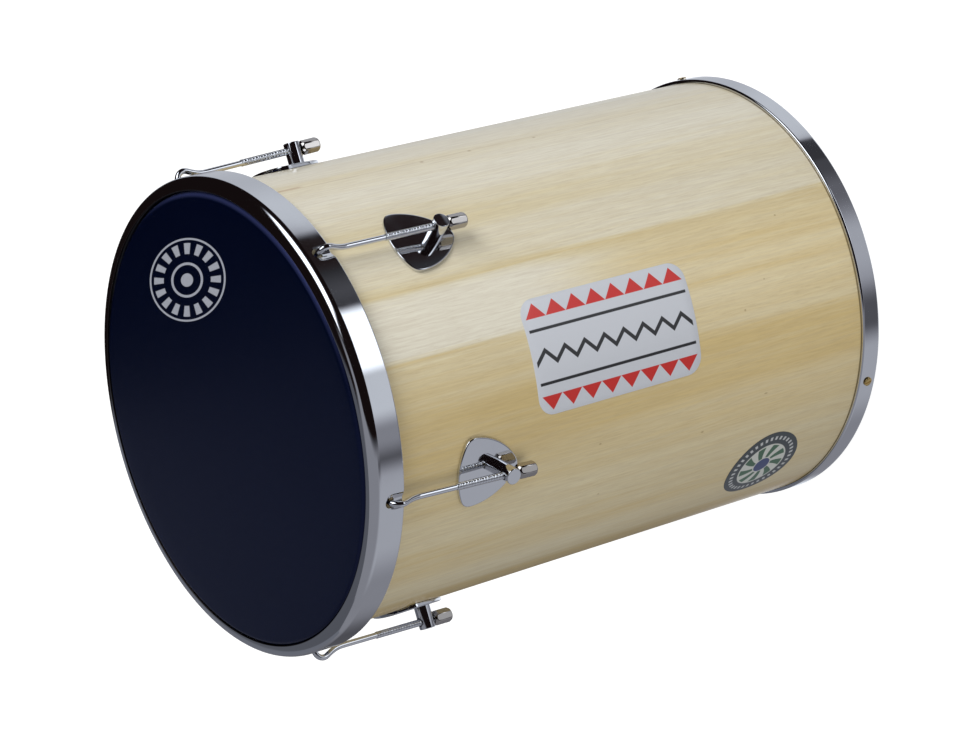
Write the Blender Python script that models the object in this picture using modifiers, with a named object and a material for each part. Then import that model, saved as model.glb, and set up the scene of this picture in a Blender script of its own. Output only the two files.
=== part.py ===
# A rebolo hand drum standing on its open end, head up, in metres.
# The origin is the centre of the open rear rim and +Z runs along the drum's axis to the head.
import math

import bmesh
import bpy
from mathutils import Matrix, Vector

# Shell
SHELL_RADIUS = 0.152
SHELL_WALL = 0.007
EDGE_TOP = 0.4382
EDGE_ROUND = 0.004
EDGE_LAND = 0.0008
EDGE_BEVEL = 0.0027
RING_STEPS = 60
ROUND_STEPS = 18
HOLE_STEPS = 12

# Clearance between touching pieces
GAP = 0.0003

# Head skin, folded round its flesh hoop
SKIN_THICKNESS = 0.0009
FLESH_INNER = 0.1536
FLESH_OUTER = 0.1572
FLESH_BOTTOM = 0.4312
FLESH_TOP = 0.4365
FOLD_TOP = 0.435

# Counterhoop that presses the head down
HOOP_OUTER = 0.1618
HOOP_SHEET = 0.0016
HOOP_BOTTOM = 0.4155
HOOP_CORNER = 0.0062
HOOP_CORNER_Z = 0.4328
HOOP_LIP_ANGLE = 110
HOOK_HOLE_RADIUS = 0.00375

# Band round the open end
BAND_OUTER = 0.1545
BAND_SHEET = 0.0012
BAND_HEIGHT = 0.015
BAND_ROUND = 0.001
BAND_LIP_INNER = 0.1524
BAND_FLANGE_INNER = 0.1453
BAND_SCREW_Z = 0.0075
BAND_SCREW_ANGLES = (114, 234, 354)
BAND_SCREW_TURNS = (70, 12, 40)

# Lugs: six stations round the shell
LUG_COUNT = 6
LUG_FIRST_ANGLE = 0.8
LUG_Z = 0.335
LUG_LEAN = 1.6
PLATE_TURN = 3.8
PLATE_THICKNESS = 0.002
PLATE_CORNER = (0.0238, 0.0252)
PLATE_APEX = -0.0167
PLATE_TOP_BULGE = 0.0073
PLATE_SIDE_BULGE = 0.0071
PLATE_CORNER_CUT = 0.0022
PLATE_APEX_CUT = 0.0045
POST_RADIUS = 0.0055
POST_FOOT = 0.00265
POST_END = 0.018
POST_EDGE = 0.0004
POST_HOLE_RADIUS = 0.0031
POST_TAP_RADIUS = 0.0026
POST_TAP_END = 0.009

# Tuning hooks: the rod crosses its post ROD_OUT from the shell; heights run along the rod from
# there, and crest and tip are measured outward from the straight rod's own axis
ROD_OUT = 0.0128
ROD_TILT = 1.6
SHANK_RADIUS = 0.002
THREAD_RADIUS = 0.00245
THREAD_START = 0.0415
ROD_TAIL = -0.0171
ELBOW_RADIUS = 0.026
ELBOW_TURN = 25
BEND_RADIUS = 0.006
BEND_STEPS = 6
HOOK_HEIGHT = 0.0914
HOOK_CREST = 0.0043
HOOK_TIP = -0.006

# Tuning nuts
NUT_ACROSS_FLATS = 0.009
NUT_LENGTH = 0.0138
NUT_NOSE_RADIUS = 0.0038
NUT_NOSE_LENGTH = 0.0018
NUT_END_RADIUS = 0.0043
NUT_END_LENGTH = 0.0011
NUT_BORE_RADIUS = 0.0031

# Screw and washer inside the shell at each lug
LUG_SCREW_RADIUS = 0.0023
LUG_SCREW_HOLE = 0.0028
LUG_SCREW_TIP = 0.0085
LUG_SCREW_HEAD_RADIUS = 0.0045
LUG_SCREW_HEAD = 0.003
WASHER_RADIUS = 0.008
WASHER_HOLE = 0.0027
WASHER_THICKNESS = 0.00115
WASHER_OUT = -0.0078

# Wood screws of the rear band
WOOD_SCREW_HEAD_RADIUS = 0.0032
WOOD_SCREW_HEAD = 0.0012
WOOD_SCREW_RADIUS = 0.0014
WOOD_SCREW_LENGTH = 0.0072
WOOD_SCREW_HOLE = 0.0017
SLOT_WIDTH = 0.0009
SLOT_DEPTH = 0.0006

# Quarter turns between a piece's own long axis and the frame it stands in
TURN_TO_ROD = Matrix.Rotation(math.radians(90), 4, "Y")
TURN_INWARD = Matrix.Rotation(-math.radians(90), 4, "Y")

for old in list(bpy.data.objects):
    bpy.data.objects.remove(old, do_unlink=True)

scene = bpy.context.scene
drum = bpy.data.collections.new("rebolo_drum")
scene.collection.children.link(drum)
cutters = bpy.data.collections.new("cutters")
scene.collection.children.link(cutters)


def make_material(name, colour, roughness, metallic):
    material = bpy.data.materials.new(name)
    material.use_nodes = True
    shader = material.node_tree.nodes["Principled BSDF"]
    shader.inputs["Base Color"].default_value = (*colour, 1)
    shader.inputs["Roughness"].default_value = roughness
    shader.inputs["Metallic"].default_value = metallic
    return material


shell_wood = make_material("shell_wood", (0.62, 0.52, 0.30), 0.35, 0)
navy_skin = make_material("navy_skin", (0.006, 0.008, 0.030), 0.5, 0)
chrome = make_material("chrome", (0.66, 0.67, 0.70), 0.06, 1)
nickel = make_material("nickel", (0.60, 0.57, 0.52), 0.15, 1)
brass = make_material("brass", (0.62, 0.45, 0.16), 0.3, 1)
zinc = make_material("zinc", (0.55, 0.56, 0.57), 0.35, 1)
aluminium = make_material("aluminium", (0.70, 0.71, 0.72), 0.4, 1)


def add_object(name, mesh, material, collection):
    piece = bpy.data.objects.new(name, mesh)
    collection.objects.link(piece)
    if material:
        mesh.materials.clear()
        mesh.materials.append(material)
    return piece


def shade_round(piece, angle=35):
    piece.data.shade_smooth()
    piece.data.set_sharp_from_angle(angle=math.radians(angle))


def bake_modifiers(piece):
    # The evaluated shape becomes the object's own mesh.
    graph = bpy.context.evaluated_depsgraph_get()
    evaluated = piece.evaluated_get(graph)
    finished = bpy.data.meshes.new_from_object(evaluated)
    piece.modifiers.clear()
    piece.data = finished
    return piece


def turned(name, profile, material, closed, steps, collection=drum):
    # A profile of (radius, height) points, run down its outer side, swept round Z.
    shape = bmesh.new()
    points = [shape.verts.new((radius, 0, height)) for radius, height in profile]
    for first, second in zip(points, points[1:]):
        shape.edges.new((first, second))
    if closed:
        shape.edges.new((points[-1], points[0]))
    mesh = bpy.data.meshes.new(name)
    shape.to_mesh(mesh)
    shape.free()
    piece = add_object(name, mesh, material, collection)
    screw = piece.modifiers.new("sweep", "SCREW")
    screw.axis = "Z"
    screw.steps = steps
    screw.render_steps = steps
    screw.use_merge_vertices = True
    screw.merge_threshold = 0.00001
    screw.use_normal_calculate = False
    bake_modifiers(piece)
    shade_round(piece)
    return piece


def arc_points(centre, radius, start, end, count):
    # Points on an arc in the profile plane, both ends included, angles in degrees.
    angles = [math.radians(start + (end - start) * i / (count - 1)) for i in range(count)]
    return [(centre[0] + radius * math.cos(a), centre[1] + radius * math.sin(a)) for a in angles]


def bulged_side(start, end, bulge, count):
    # Points from start up to but not including end, on an arc that stands bulge off the chord.
    start = Vector(start)
    end = Vector(end)
    chord = end - start
    half = chord.length / 2
    radius = (half * half + bulge * bulge) / (2 * bulge)
    outward = Vector((-chord.y, chord.x)).normalized()
    centre = (start + end) / 2 - outward * (radius - bulge)
    sweep = 2 * math.asin(half / radius)
    points = []
    for i in range(count):
        turn = Matrix.Rotation(-sweep * i / count, 2)
        points.append(centre + turn @ (start - centre))
    return points


def cylinder(name, radius, start, end, segments, collection=cutters, material=None):
    # A cylinder along local X from start to end.
    shape = bmesh.new()
    bmesh.ops.create_cone(shape, cap_ends=True, segments=segments, radius1=radius, radius2=radius,
                          depth=end - start)
    place = Matrix.Translation(((start + end) / 2, 0, 0)) @ TURN_TO_ROD
    bmesh.ops.transform(shape, matrix=place, verts=shape.verts)
    mesh = bpy.data.meshes.new(name)
    shape.to_mesh(mesh)
    shape.free()
    return add_object(name, mesh, material, collection)


def hide_cutter(piece):
    piece.hide_render = True
    piece.display_type = "WIRE"


def combine(piece, tool, operation):
    # Both objects' places are up to date before the Boolean is worked out.
    bpy.context.view_layer.update()
    step = piece.modifiers.new(operation.lower(), "BOOLEAN")
    step.operation = operation
    step.solver = "EXACT"
    step.object = tool
    hide_cutter(tool)
    bake_modifiers(piece)


def hang(piece, carrier):
    # Parented where it stands, so that it moves with what carries it.
    bpy.context.view_layer.update()
    piece.parent = carrier
    piece.matrix_parent_inverse = carrier.matrix_world.inverted()


def station(angle, lean=0):
    # The frame of a lug: X points outward from the shell's surface, Z along the tuning rod.
    outward = Matrix.Rotation(math.radians(angle), 4, "Z")
    middle = Matrix.Translation((SHELL_RADIUS, 0, LUG_Z))
    return outward @ middle @ Matrix.Rotation(-math.radians(lean), 4, "X")


def rod_frame(angle):
    # On the rod's axis where it crosses the post: Z runs along the rod, which leans in to the shell.
    crossing = Matrix.Translation((ROD_OUT, 0, 0)) @ Matrix.Rotation(-math.radians(ROD_TILT), 4, "Y")
    return station(angle, LUG_LEAN) @ crossing


def make_shell():
    inner = SHELL_RADIUS - SHELL_WALL
    bottom = BAND_SHEET + GAP
    round_centre = (SHELL_RADIUS - EDGE_ROUND, EDGE_TOP - EDGE_ROUND)
    land = SHELL_RADIUS - EDGE_ROUND - EDGE_LAND
    profile = [(land, EDGE_TOP)]
    profile += arc_points(round_centre, EDGE_ROUND, 90, 0, 3)
    profile += [(SHELL_RADIUS, bottom), (inner, bottom), (inner, EDGE_TOP - EDGE_BEVEL)]
    return turned("shell", profile, shell_wood, True, RING_STEPS)


def make_head_skin():
    under = EDGE_TOP + GAP
    top = under + SKIN_THICKNESS
    centre = (SHELL_RADIUS - EDGE_ROUND, EDGE_TOP - EDGE_ROUND)
    inner_round = EDGE_ROUND + GAP
    outer_round = inner_round + SKIN_THICKNESS
    fold_floor = FLESH_BOTTOM - GAP
    fold_inner = FLESH_OUTER + GAP
    fold_outer = fold_inner + SKIN_THICKNESS
    profile = [(0, top)]
    profile += arc_points(centre, outer_round, 90, 0, 4)
    profile += [(SHELL_RADIUS + GAP + SKIN_THICKNESS, fold_floor), (fold_inner, fold_floor)]
    profile += [(fold_inner, FOLD_TOP), (fold_outer, FOLD_TOP)]
    profile += [(fold_outer, fold_floor - SKIN_THICKNESS)]
    profile += [(SHELL_RADIUS + GAP, fold_floor - SKIN_THICKNESS)]
    profile += arc_points(centre, inner_round, 0, 90, 3)
    profile += [(0, under)]
    return turned("head_skin", profile, navy_skin, False, RING_STEPS)


def make_flesh_hoop():
    profile = [(FLESH_INNER, FLESH_TOP), (FLESH_OUTER, FLESH_TOP)]
    profile += [(FLESH_OUTER, FLESH_BOTTOM), (FLESH_INNER, FLESH_BOTTOM)]
    return turned("flesh_hoop", profile, aluminium, True, RING_STEPS)


def make_counterhoop():
    centre = (HOOP_OUTER - HOOP_CORNER, HOOP_CORNER_Z)
    profile = arc_points(centre, HOOP_CORNER, HOOP_LIP_ANGLE, 0, 6)
    profile += [(HOOP_OUTER, HOOP_BOTTOM), (HOOP_OUTER - HOOP_SHEET, HOOP_BOTTOM)]
    profile += arc_points(centre, HOOP_CORNER - HOOP_SHEET, 0, HOOP_LIP_ANGLE, 5)
    return turned("counterhoop", profile, chrome, True, RING_STEPS)


def make_rear_band():
    wall = BAND_OUTER - BAND_SHEET
    corner = BAND_OUTER - BAND_ROUND
    profile = [(BAND_LIP_INNER, BAND_HEIGHT)]
    profile += arc_points((corner, BAND_HEIGHT - BAND_ROUND), BAND_ROUND, 90, 0, 2)
    profile += arc_points((corner, BAND_ROUND), BAND_ROUND, 0, -90, 2)
    profile += [(BAND_FLANGE_INNER, 0), (BAND_FLANGE_INNER, BAND_SHEET), (wall, BAND_SHEET)]
    profile += [(wall, BAND_HEIGHT - BAND_SHEET), (BAND_LIP_INNER, BAND_HEIGHT - BAND_SHEET)]
    return turned("rear_band", profile, chrome, True, RING_STEPS)


def make_plate(index, frame):
    # A rounded three-cornered plate, cut from a sleeve so that it hugs the shell.
    corner_y, corner_z = PLATE_CORNER
    left = (-corner_y, corner_z)
    right = (corner_y, corner_z)
    apex = (0, PLATE_APEX)
    outline = bulged_side(left, right, PLATE_TOP_BULGE, 8)
    outline += bulged_side(right, apex, PLATE_SIDE_BULGE, 8)
    outline += bulged_side(apex, left, PLATE_SIDE_BULGE, 8)
    shape = bmesh.new()
    depth = SHELL_RADIUS * 0.1
    inner = [shape.verts.new((-depth, y, z)) for y, z in outline]
    face = shape.faces.new(inner)
    raised = bmesh.ops.extrude_face_region(shape, geom=[face])
    moved = [item for item in raised["geom"] if isinstance(item, bmesh.types.BMVert)]
    bmesh.ops.translate(shape, verts=moved, vec=(2 * depth, 0, 0))
    bmesh.ops.recalc_face_normals(shape, faces=shape.faces)
    for point, cut in ((left, PLATE_CORNER_CUT), (right, PLATE_CORNER_CUT), (apex, PLATE_APEX_CUT)):
        edges = [e for e in shape.edges
                 if all((Vector(v.co.yz) - Vector(point)).length < GAP for v in e.verts)]
        bmesh.ops.bevel(shape, geom=edges, offset=cut, segments=3, profile=0.5, affect="EDGES")
    name = f"lug_plate_{index}"
    mesh = bpy.data.meshes.new(name)
    shape.to_mesh(mesh)
    shape.free()
    plate = add_object(name, mesh, chrome, drum)
    plate.matrix_world = frame
    inside = SHELL_RADIUS + GAP
    outside = inside + PLATE_THICKNESS
    low = LUG_Z - corner_y * 2
    high = LUG_Z + corner_y * 2
    sleeve = turned(f"sleeve_{index}", [(outside, high), (outside, low), (inside, low), (inside, high)],
                    None, True, RING_STEPS, cutters)
    combine(plate, sleeve, "INTERSECT")
    drill = cylinder(f"plate_drill_{index}", LUG_SCREW_HOLE, -WASHER_RADIUS, WASHER_RADIUS, HOLE_STEPS)
    drill.matrix_world = frame
    combine(plate, drill, "DIFFERENCE")
    shade_round(plate)
    return plate


def make_post(index, frame, rod):
    # A stub that stands on the plate, cross-drilled for the rod and tapped from its foot.
    post = cylinder(f"lug_post_{index}", POST_RADIUS, POST_FOOT, POST_END, ROUND_STEPS, drum, chrome)
    post.matrix_world = frame
    edge = post.modifiers.new("edge", "BEVEL")
    edge.width = POST_EDGE
    edge.segments = 1
    edge.limit_method = "ANGLE"
    bake_modifiers(post)
    rod_way = cylinder(f"rod_way_{index}", POST_HOLE_RADIUS, -2 * POST_RADIUS, 2 * POST_RADIUS,
                       HOLE_STEPS)
    rod_way.matrix_world = rod @ TURN_TO_ROD
    combine(post, rod_way, "DIFFERENCE")
    tap = cylinder(f"tap_{index}", POST_TAP_RADIUS, 0, POST_TAP_END, HOLE_STEPS)
    tap.matrix_world = frame
    combine(post, tap, "DIFFERENCE")
    shade_round(post)
    return post


def hook_route():
    # (outward, height along the rod, radius): the straight threaded tail, the elbow away from the
    # shell, a short straight, and the bend that turns the tip in through the hoop.
    turn = math.radians(ELBOW_TURN)
    rise = (ELBOW_RADIUS + BEND_RADIUS) * (1 - math.cos(turn))
    straight = (HOOK_CREST - rise) / math.sin(turn)
    bend_centre = (HOOK_CREST - BEND_RADIUS, HOOK_HEIGHT - BEND_RADIUS)
    reach = (ELBOW_RADIUS + BEND_RADIUS) * math.sin(turn) + straight * math.cos(turn)
    elbow_centre = (ELBOW_RADIUS, bend_centre[1] - reach)
    path = arc_points(elbow_centre, ELBOW_RADIUS, 180, 180 - ELBOW_TURN, BEND_STEPS)
    path += arc_points(bend_centre, BEND_RADIUS, -ELBOW_TURN, 90, 2 * BEND_STEPS)
    path.append((HOOK_TIP, HOOK_HEIGHT))
    route = [(0, ROD_TAIL, THREAD_RADIUS), (0, THREAD_START, THREAD_RADIUS)]
    route.append((0, THREAD_START + GAP, SHANK_RADIUS))
    return route + [(out, height, SHANK_RADIUS) for out, height in path]


def make_hook(index, frame):
    route = hook_route()
    name = f"tuning_hook_{index}"
    path = bpy.data.curves.new(name, "CURVE")
    path.dimensions = "3D"
    path.bevel_depth = 1
    path.bevel_resolution = 2
    path.use_fill_caps = True
    spline = path.splines.new("POLY")
    spline.points.add(len(route) - 1)
    for point, (x, z, radius) in zip(spline.points, route):
        point.co = (x, 0, z, 1)
        point.radius = radius
    hook = bpy.data.objects.new(name, path)
    path.materials.append(chrome)
    drum.objects.link(hook)
    hook.matrix_world = frame
    return hook


def make_nut(index, frame):
    # A long six-sided nut below the post; its origin is on its own thread axis.
    top = -POST_RADIUS - GAP
    bottom = top - NUT_LENGTH
    corner = NUT_ACROSS_FLATS / 2 / math.cos(math.radians(30))
    over = corner + GAP
    name = f"tuning_nut_{index}"
    shape = bmesh.new()
    bmesh.ops.create_cone(shape, cap_ends=True, segments=6, radius1=corner, radius2=corner,
                          depth=NUT_LENGTH + 4 * GAP)
    bmesh.ops.translate(shape, verts=shape.verts, vec=(0, 0, (top + bottom) / 2))
    mesh = bpy.data.meshes.new(name)
    shape.to_mesh(mesh)
    shape.free()
    nut = add_object(name, mesh, nickel, drum)
    nut.matrix_world = frame
    profile = [(0, top), (NUT_NOSE_RADIUS, top), (over, top - NUT_NOSE_LENGTH)]
    profile += [(over, bottom + NUT_END_LENGTH), (NUT_END_RADIUS, bottom), (0, bottom)]
    turning = turned(f"nut_turning_{index}", profile, None, False, ROUND_STEPS, cutters)
    turning.matrix_world = frame
    combine(nut, turning, "INTERSECT")
    bore = cylinder(f"nut_bore_{index}", NUT_BORE_RADIUS, -2 * NUT_LENGTH, 2 * NUT_LENGTH, HOLE_STEPS)
    bore.matrix_world = frame @ TURN_TO_ROD
    combine(nut, bore, "DIFFERENCE")
    shade_round(nut, 20)
    return nut


def make_screw(name, material, frame, head_radius, head_height, radius, length, slot_turn):
    # A slotted pan head with its seat at the local origin, head towards +Z, shank towards -Z.
    rim = head_height * 0.55
    profile = [(0, head_height), (head_radius * 0.6, head_height * 0.92), (head_radius, rim)]
    profile += [(head_radius, 0), (radius, 0), (radius, -length + radius), (0, -length)]
    screw = turned(name, profile, material, False, HOLE_STEPS)
    screw.matrix_world = frame
    shape = bmesh.new()
    bmesh.ops.create_cube(shape, size=1)
    size = (head_radius * 3, SLOT_WIDTH, SLOT_DEPTH * 2)
    bmesh.ops.scale(shape, verts=shape.verts, vec=size)
    mesh = bpy.data.meshes.new(f"{name}_slot")
    shape.to_mesh(mesh)
    shape.free()
    slot = add_object(f"{name}_slot", mesh, None, cutters)
    turn = Matrix.Rotation(math.radians(slot_turn), 4, "Z")
    slot.matrix_world = frame @ Matrix.Translation((0, 0, head_height)) @ turn
    combine(screw, slot, "DIFFERENCE")
    shade_round(screw)
    return screw


def make_lug_washer(index, frame):
    outer = WASHER_RADIUS
    top = WASHER_THICKNESS
    profile = [(outer, top), (outer, 0), (WASHER_HOLE, 0), (WASHER_HOLE, top)]
    washer = turned(f"lug_washer_{index}", profile, zinc, True, ROUND_STEPS)
    washer.matrix_world = frame @ Matrix.Translation((WASHER_OUT, 0, 0)) @ TURN_INWARD
    return washer


def make_lug_screw(index, frame):
    # The head faces the drum's inside and the shank passes washer, shell and plate into the post.
    seat = WASHER_OUT - WASHER_THICKNESS - GAP
    place = frame @ Matrix.Translation((seat, 0, 0)) @ TURN_INWARD
    return make_screw(f"lug_screw_{index}", zinc, place, LUG_SCREW_HEAD_RADIUS, LUG_SCREW_HEAD,
                      LUG_SCREW_RADIUS, LUG_SCREW_TIP - seat, 30 * index)


def radial(angle, distance, height):
    # A frame whose Z points outward from the drum's axis.
    around = Matrix.Rotation(math.radians(angle), 4, "Z")
    return around @ Matrix.Translation((distance, 0, height)) @ TURN_TO_ROD


shell = make_shell()
counterhoop = make_counterhoop()
rear_band = make_rear_band()
for ring in (make_head_skin(), make_flesh_hoop()):
    hang(ring, counterhoop)
hang(rear_band, shell)

for number in range(1, LUG_COUNT + 1):
    angle = LUG_FIRST_ANGLE + (number - 1) * 360 / LUG_COUNT
    upright = station(angle)
    rod = rod_frame(angle)
    hang(make_plate(number, station(angle, PLATE_TURN)), shell)
    hang(make_post(number, upright, rod), shell)
    hang(make_nut(number, rod), shell)
    hang(make_lug_washer(number, upright), shell)
    hang(make_lug_screw(number, upright), shell)
    hang(make_hook(number, rod), counterhoop)
    shell_drill = cylinder(f"shell_drill_{number}", LUG_SCREW_HOLE, -2 * SHELL_WALL, SHELL_WALL,
                           HOLE_STEPS)
    shell_drill.matrix_world = upright
    combine(shell, shell_drill, "DIFFERENCE")
    hook_punch = cylinder(f"hook_punch_{number}", HOOK_HOLE_RADIUS, HOOK_TIP, HOOK_CREST, ROUND_STEPS)
    hook_punch.matrix_world = rod @ Matrix.Translation((0, 0, HOOK_HEIGHT))
    combine(counterhoop, hook_punch, "DIFFERENCE")

for number, (angle, turn) in enumerate(zip(BAND_SCREW_ANGLES, BAND_SCREW_TURNS), 1):
    place = radial(angle, BAND_OUTER + GAP, BAND_SCREW_Z)
    wood_screw = make_screw(f"rear_band_screw_{number}", brass, place, WOOD_SCREW_HEAD_RADIUS,
                            WOOD_SCREW_HEAD, WOOD_SCREW_RADIUS, WOOD_SCREW_LENGTH, turn)
    hang(wood_screw, rear_band)
    pilot = cylinder(f"pilot_{number}", WOOD_SCREW_HOLE, -WOOD_SCREW_LENGTH - GAP, WOOD_SCREW_HEAD,
                     HOLE_STEPS)
    pilot.matrix_world = place @ TURN_INWARD
    combine(shell, pilot, "DIFFERENCE")
    combine(rear_band, pilot, "DIFFERENCE")

for ring in (shell, counterhoop, rear_band):
    shade_round(ring)
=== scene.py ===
import math

import bmesh
import bpy
from mathutils import Matrix, Vector


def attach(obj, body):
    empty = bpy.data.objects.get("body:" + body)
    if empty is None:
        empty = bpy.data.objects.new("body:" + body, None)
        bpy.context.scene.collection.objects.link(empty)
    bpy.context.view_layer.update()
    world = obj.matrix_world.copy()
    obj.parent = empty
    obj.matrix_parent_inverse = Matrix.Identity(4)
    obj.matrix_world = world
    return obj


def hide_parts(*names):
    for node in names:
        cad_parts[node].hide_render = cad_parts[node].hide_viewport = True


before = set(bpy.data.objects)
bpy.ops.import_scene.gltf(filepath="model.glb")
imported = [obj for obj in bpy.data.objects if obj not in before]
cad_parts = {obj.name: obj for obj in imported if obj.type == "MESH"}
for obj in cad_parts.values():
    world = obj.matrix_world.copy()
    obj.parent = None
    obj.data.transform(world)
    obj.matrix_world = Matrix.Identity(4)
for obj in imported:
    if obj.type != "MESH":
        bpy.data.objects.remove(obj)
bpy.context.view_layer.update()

# Real sizes that several pieces share, in metres and degrees
drum = {
    "shellRadius": 0.152, "lugCount": 6, "lugFirst": 0.8, "lugHeight": 0.335, "lugLean": 1.6,
    "rodOut": 0.0128, "rodTilt": 1.6, "gap": 0.0003, "steps": 240,
}


class Wire:
    # one output socket, so that maths on it reads as an expression
    def __init__(self, tree, socket):
        self.tree = tree
        self.socket = socket

    def maths(self, operation, first, second=0.0, third=0.0):
        return self.tree.add("ShaderNodeMath", {"operation": operation}, {0: first, 1: second, 2: third})

    def __add__(self, other):
        return self.maths("ADD", self, other)

    def __sub__(self, other):
        return self.maths("SUBTRACT", self, other)

    def __rsub__(self, other):
        return self.maths("SUBTRACT", other, self)

    def __mul__(self, other):
        return self.maths("MULTIPLY", self, other)

    def __truediv__(self, other):
        return self.maths("DIVIDE", self, other)

    def __pow__(self, other):
        return self.maths("POWER", self, other)

    def __neg__(self):
        return self.maths("MULTIPLY", self, -1)

    def __abs__(self):
        return self.maths("ABSOLUTE", self)

    __radd__ = __add__
    __rmul__ = __mul__

    def over(self, edge, soft):
        # 0 below the edge and 1 above it, with a soft step between
        return self.tree.add("ShaderNodeMapRange", {"interpolation_type": "SMOOTHSTEP"},
                             {"Value": self, "From Min": edge - soft, "From Max": edge + soft})

    def under(self, edge, soft):
        return 1 - self.over(edge, soft)

    def between(self, low, high, soft):
        return self.over(low, soft) * self.under(high, soft)


class Nodes:
    # any node tree: adds a node, sets what it is told to and links its inputs
    def __init__(self, tree):
        self.tree = tree

    def add(self, kind, settings=None, inputs=None, out=0):
        node = self.tree.nodes.new(kind)
        for key, value in (settings or {}).items():
            if key == "stops":
                self.setStops(node.color_ramp, value)
            else:
                setattr(node, key, value)
        for key, value in (inputs or {}).items():
            self.feed(node.inputs[key], value)
        return Wire(self, node.outputs[out])

    def feed(self, socket, value):
        if isinstance(value, Wire):
            self.tree.links.new(value.socket, socket)
        else:
            socket.default_value = value

    def around(self, x, y, turn):
        # degrees round Z from the given turn, within 180 either way
        along = math.cos(math.radians(turn))
        aside = math.sin(math.radians(turn))
        off = self.add("ShaderNodeMath", {"operation": "ARCTAN2"},
                       {0: y * along - x * aside, 1: x * along + y * aside})
        return off * math.degrees(1)

    def setStops(self, ramp, stops):
        while len(ramp.elements) < len(stops):
            ramp.elements.new(1)
        for element, (place, colour) in zip(ramp.elements, stops):
            element.position = place
            element.color = (*colour, 1)


class Paint(Nodes):
    # a material and the patterns that feed its Principled shader
    def __init__(self, name):
        self.material = bpy.data.materials.new(name)
        self.material.use_nodes = True
        super().__init__(self.material.node_tree)
        self.shader = self.tree.nodes["Principled BSDF"]

    def surface(self, **values):
        for name, value in values.items():
            if isinstance(value, tuple):
                value = (*value, 1)
            self.feed(self.shader.inputs[name.replace("_", " ")], value)
        return self.material

    def place(self):
        return self.add("ShaderNodeTexCoord", out=3)

    def axes(self, vector):
        node = self.add("ShaderNodeSeparateXYZ", {}, {0: vector})
        outputs = node.socket.node.outputs
        return [Wire(self, outputs[i]) for i in range(3)]

    def point(self, x, y, z):
        return self.add("ShaderNodeCombineXYZ", {}, {0: x, 1: y, 2: z})

    def stretched(self, vector, scale):
        return self.add("ShaderNodeMapping", {}, {"Vector": vector, "Scale": scale})

    def noise(self, vector, scale, detail=3.0, rough=0.55, distortion=0.0):
        return self.add("ShaderNodeTexNoise", {}, {"Vector": vector, "Scale": scale, "Detail": detail,
                                                   "Roughness": rough, "Distortion": distortion})

    def mix(self, factor, first, second, blend="MIX"):
        first = (*first, 1) if isinstance(first, tuple) else first
        second = (*second, 1) if isinstance(second, tuple) else second
        return self.add("ShaderNodeMix", {"data_type": "RGBA", "blend_type": blend},
                        {0: factor, 6: first, 7: second}, out=2)

    def bump(self, height, strength, distance):
        return self.add("ShaderNodeBump", {}, {"Height": height, "Strength": strength, "Distance": distance})


class Shape(Nodes):
    # a Geometry Nodes tree with named inputs for its sizes, which ends as one real mesh with its material
    def __init__(self, name, sizes):
        tree = bpy.data.node_groups.new(name, "GeometryNodeTree")
        super().__init__(tree)
        tree.interface.new_socket("Geometry", in_out="OUTPUT", socket_type="NodeSocketGeometry")
        tree.interface.new_socket("Geometry", in_out="INPUT", socket_type="NodeSocketGeometry")
        self.sizes = {}
        for label, value in sizes.items():
            kind = "NodeSocketInt" if isinstance(value, int) else "NodeSocketFloat"
            self.sizes[label] = tree.interface.new_socket(label, in_out="INPUT", socket_type=kind)
        self.values = sizes
        entry = tree.nodes.new("NodeGroupInput")
        self.source = Wire(self, entry.outputs[0])
        self.size = {label: Wire(self, entry.outputs[label]) for label in sizes}

    def finish(self, geometry, material):
        real = self.add("GeometryNodeRealizeInstances", {}, {0: geometry})
        painted = self.add("GeometryNodeSetMaterial", {}, {0: real, "Material": material})
        end = self.tree.nodes.new("NodeGroupOutput")
        self.tree.links.new(painted.socket, end.inputs[0])

    def make(self, mesh):
        # runs the tree on a mesh and returns the plain mesh that comes out
        holder = bpy.data.objects.new("holder", mesh)
        bpy.context.scene.collection.objects.link(holder)
        step = holder.modifiers.new("shape", "NODES")
        step.node_group = self.tree
        for label, value in self.values.items():
            step[self.sizes[label].identifier] = value
        result = bpy.data.meshes.new_from_object(holder.evaluated_get(bpy.context.evaluated_depsgraph_get()))
        bpy.data.objects.remove(holder)
        return result


# Camera: it looks down on the drum's near side and is rolled, so that the head lies to the left
shot = {
    "focal": 3209, "width": 980, "sensor": 36.0, "distance": 2.225, "elevation": 34.77, "roll": -105.33,
    "aimHeight": 0.225, "shiftRight": 0.0009, "shiftUp": -0.0136,
}


def makeCamera():
    rise = math.radians(shot["elevation"])
    roll = math.radians(shot["roll"])
    back = Vector((0, -math.cos(rise), math.sin(rise)))
    upright = (Vector((0, 0, 1)) - back * back.z).normalized()
    level = upright.cross(back)
    right = level * math.cos(roll) + upright * math.sin(roll)
    up = upright * math.cos(roll) - level * math.sin(roll)
    data = bpy.data.cameras.new("photoCamera")
    data.sensor_width = shot["sensor"]
    data.lens = shot["focal"] / shot["width"] * shot["sensor"]
    data.clip_end = 50
    camera = bpy.data.objects.new("photoCamera", data)
    bpy.context.scene.collection.objects.link(camera)
    place = Vector((0, 0, shot["aimHeight"])) + back * shot["distance"]
    place += right * shot["shiftRight"] + up * shot["shiftUp"]
    camera.matrix_world = Matrix.Translation(place) @ Matrix((right, up, back)).transposed().to_4x4()
    bpy.context.scene.camera = camera


makeCamera()
print("camera placed")


def smooth(mesh, angle=35):
    mesh.shade_smooth()
    mesh.set_sharp_from_angle(angle=math.radians(angle))
    return mesh


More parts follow.
